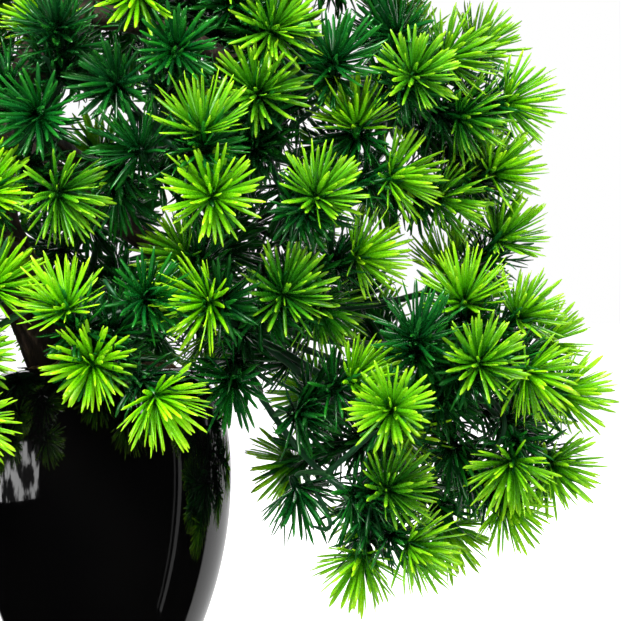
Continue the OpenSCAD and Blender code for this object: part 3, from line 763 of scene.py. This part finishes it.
# A needle's stations from root to tip, its width at each as a share of the full width, and its sides
FULL_SHAPE = (np.array([0.0, 0.22, 0.58, 0.9, 1.0]), np.array([0.6, 0.84, 1.0, 0.74, 0.24]), 6)
PLAIN_SHAPE = (np.array([0.0, 0.3, 0.8, 1.0]), np.array([0.7, 1.1, 1.1, 0.35]), 4)


def swung(points, joint):
    """The points at the lower limit, rest and upper limit of a limb's hinge. With v measured from the
    hinge and k its axis, each becomes v cos t + (k x v) sin t + k (k . v)(1 - cos t)."""
    k, start = np.array(joint["axis"], float), np.array(joint["pos_m"], float)
    low, high = joint["range_deg"]
    t = np.radians([low, 0.0, high]).reshape((3,) + (1,) * points.ndim)
    v = points - start
    return start + v * np.cos(t) + np.cross(k, v) * np.sin(t) + k * (v @ k)[..., None] * (1 - np.cos(t))


def meets_pot(points):
    """True for a point inside the pot's outline, or under the loose top of the coir"""
    x, y, z = np.moveaxis(points, -1, 0)
    wall = pot_wall_radius(np.clip(z, 0, POT_HEIGHT)) + POT_CLEARANCE
    return (z < COIR_TOP_Z + POT_CLEARANCE) & (np.hypot(x, y) < wall)


def needle_tufts(name, hubs, facings, habit, shape, material, rng, classes, joint):
    """Needles stand on each hub along a golden spiral, from its face to the spread angle. A needle's
    middle line is hub + length * (s * out + curl * s^2 * back), and its section is a flat ring with
    half sizes width(s) * (broad, thin). A small turned boss carries them. A habit is the number of
    needles, their length, the spread angle and the disorder of their curl. The tone layer holds s,
    a chance per needle, and the class of the tuft."""
    n, (needles, reach, spread, disorder), (stations, widths, sides) = len(hubs), habit, shape
    k = (np.arange(needles) + 0.5) / needles
    tilt = np.arccos(1 - k * (1 - np.cos(spread)))[None] + rng.normal(0, 0.10, (n, needles))
    turn = np.arange(needles) * GOLDEN + rng.uniform(0, 6.283, (n, 1))
    turn = turn + rng.normal(0, 0.12, (n, needles))
    u, w = across(facings)
    flat = np.cos(turn)[..., None] * u[:, None] + np.sin(turn)[..., None] * w[:, None]
    out = np.cos(tilt)[..., None] * facings[:, None] + np.sin(tilt)[..., None] * flat
    back = -np.sin(tilt)[..., None] * facings[:, None] + np.cos(tilt)[..., None] * flat
    size = rng.uniform(0.9, 1.04, (n, 1))
    length = reach * size * rng.uniform(0.82, 1.04, (n, needles))
    length = length * (1 - 0.2 * np.clip(tilt / spread, 0, 1) ** 2)
    for _ in range(SHORTENINGS):                # a needle that would press on the pot is moulded shorter
        caught = meets_pot(swung(hubs[:, None] + (NEEDLE_END + length)[..., None] * out, joint)).any(0)
        length = np.where(caught, SHORTER * length, length)
    curl = rng.normal(-0.03, disorder, (n, needles)) - 0.05 * np.sin(tilt)
    bow = stations[:, None] * out[:, :, None]
    bow = bow + (curl[..., None] * stations ** 2)[..., None] * back[:, :, None]
    spine = hubs[:, None, None] + NEEDLE_ROOT * out[:, :, None] + length[..., None, None] * bow
    roll = rng.normal(0, 0.45, (n, needles))[..., None]
    beside = np.cross(out, back)
    broad = np.cos(roll) * beside + np.sin(roll) * back
    thin = np.cross(out, broad)
    a = np.arange(sides) * 2 * np.pi / sides
    girth = widths[:, None] * rng.uniform(0.82, 1.12, (n, needles))[..., None, None]
    section = (NEEDLE_HALF_WIDTH * girth * np.cos(a))[..., None] * broad[:, :, None, None]
    section = section + (NEEDLE_HALF_THICK * girth * np.sin(a))[..., None] * thin[:, :, None, None]
    points = (spine[:, :, :, None] + section).reshape(-1, 3)
    tones = np.ones((n, needles, len(stations), sides, 3))
    tones[..., 0] = stations[None, None, :, None]
    tones[..., 1] = rng.uniform(0, 1, (n, needles))[:, :, None, None]
    tones[..., 2] = classes[:, None, None, None]
    boss = tubes(hubs[:, None] + facings[:, None] * BOSS_STATIONS[:, None],
                 np.tile(BOSS_RADII, (n, 1)), BOSS_SIDES)
    boss_tones = np.zeros((n, len(BOSS_RADII), BOSS_SIDES, 3))
    boss_tones[..., 2] = classes[:, None, None]
    faces = tube_faces(n * needles, len(stations), sides)
    faces += [part + len(points) for part in tube_faces(n, len(BOSS_RADII), BOSS_SIDES)]
    piece = surface(name, np.concatenate([points, boss.reshape(-1, 3)]), faces, material)
    tone_layer(piece, np.concatenate([tones.reshape(-1, 3), boss_tones.reshape(-1, 3)]))
    return piece


def needle_plastic(name, young, old, roughness):
    """Moulded needle plastic. Its colour runs from root to tip, and each tuft's class mixes the
    young and the old set of colours; each needle is a little lighter or darker than the next."""
    made, tree, shader = new_material(name, roughness, 0.4)
    shade = read_tone(tree)
    colors = [color_ramp(tree, shade["Red"], stops) for stops in (young, old)]
    blend = tree.nodes.new("ShaderNodeMix")
    blend.data_type = "RGBA"
    tree.links.new(shade["Blue"], blend.inputs[0])
    tree.links.new(colors[0], blend.inputs[6])
    tree.links.new(colors[1], blend.inputs[7])
    lighter = ranged(tree, shade["Green"], To_Min=0.74, To_Max=1.16)
    hue = ranged(tree, shade["Green"], To_Min=0.507, To_Max=0.489)
    tinted = add_node(tree, "ShaderNodeHueSaturation",
                      [("Color", blend.outputs[2]), ("Value", lighter), ("Hue", hue)])
    tree.links.new(tinted.outputs["Color"], shader.inputs["Base Color"])
    where = tree.nodes.new("ShaderNodeTexCoord").outputs["Object"]
    mould = place_grain(tree, where, 120, 700, 900)
    dull = ranged(tree, mould["Grain"], From_Min=0.3, From_Max=0.7,
                  To_Min=roughness - 0.08, To_Max=roughness + 0.12)
    tree.links.new(dull, shader.inputs["Roughness"])
    tree.links.new(bump(tree, mould["Patches"], 0.25, 0.0006), shader.inputs["Normal"])
    return made


lime = needle_plastic(
    "lime_needles",
    [(0.04, (0.02, 0.26, 0.004)), (0.35, (0.12, 0.52, 0.002)),
     (0.7, (0.22, 0.66, 0.003)), (1.0, (0.38, 0.75, 0.010))],
    [(0.08, (0.002, 0.07, 0.008)), (0.4, (0.008, 0.15, 0.007)),
     (0.75, (0.045, 0.28, 0.006)), (1.0, (0.24, 0.54, 0.010))], 0.23)
deep = needle_plastic(
    "deep_green_needles",
    [(0.0, (0.001, 0.04, 0.006)), (0.5, (0.003, 0.105, 0.011)), (1.0, (0.012, 0.18, 0.015))],
    [(0.0, (0.001, 0.02, 0.005)), (0.5, (0.002, 0.045, 0.009)), (1.0, (0.010, 0.10, 0.012))], 0.20)

TUFT_SPREAD = np.radians(86)
DARKER_ON_RIGHT = {"right_low": 0.10, "right_high": 0.30, "right_top": 0.45}   # added to the class of every tuft on these limbs on the right, which makes them darker
# Each kind's plastic, its habit, and how far its hubs lean from their stems
KINDS = {"bright": (lime, (66, 0.0325, TUFT_SPREAD, 0.06), 0.08),
         "dark": (deep, (54, 0.0315, TUFT_SPREAD, 0.17), 0.40)}
for number, branch in enumerate(BRANCHES):
    rng = np.random.default_rng(100 + number)
    for kind, (plastic, habit, lean) in KINDS.items():
        hubs, facings = TUFTS[branch][kind]
        facings = unit(facings + lean * rng.uniform(-1, 1, facings.shape))
        classes = np.clip(rng.beta(0.7, 1.6, len(hubs)) + DARKER_ON_RIGHT.get(branch, 0), 0, 1)
        tufts = needle_tufts(f"{branch}_{kind}_needles", hubs, facings, habit, FULL_SHAPE, plastic,
                             rng, classes, JOINTS[branch + "_branch"])
        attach(tufts, branch + "_branch")
        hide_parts(f"{branch}_{kind}_tufts")

# ---------------------------------------------------------------------------------------------
# The under-whorls: plain deep green whorls threaded down the stems behind each tuft, as they
# are on the real shoots. They fill the inside of the foliage.
# ---------------------------------------------------------------------------------------------

WHORL_STEPS = (0.012, 0.030)                    # how far down the stem each whorl sits from the hub
WHORL_HABIT = (34, 0.0285, np.radians(96), 0.17)
STEM_LEFT = 0.008                               # a whorl leaves this much stem below it
for number, branch in enumerate(BRANCHES):
    rng = np.random.default_rng(500 + number)
    hubs, facings = [], []
    for lines in STEM_LINES[branch]:
        reach = np.linalg.norm(lines[:, -1] - lines[:, 0], axis=1)
        for step in WHORL_STEPS:
            row = np.clip(((1 - step / reach) * (lines.shape[1] - 1)).round(), 1, None).astype(int)
            long_enough = reach > step + STEM_LEFT
            here = lines[np.arange(len(lines)), row]
            way = unit(here - lines[np.arange(len(lines)), row - 1])
            hubs.append(here[long_enough])
            facings.append(way[long_enough])
    hubs, facings = np.concatenate(hubs), np.concatenate(facings)
    whorls = needle_tufts(branch + "_under_whorls", hubs, facings, WHORL_HABIT, PLAIN_SHAPE, deep,
                          rng, rng.uniform(0, 1, len(hubs)), JOINTS[branch + "_branch"])
    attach(whorls, branch + "_branch")
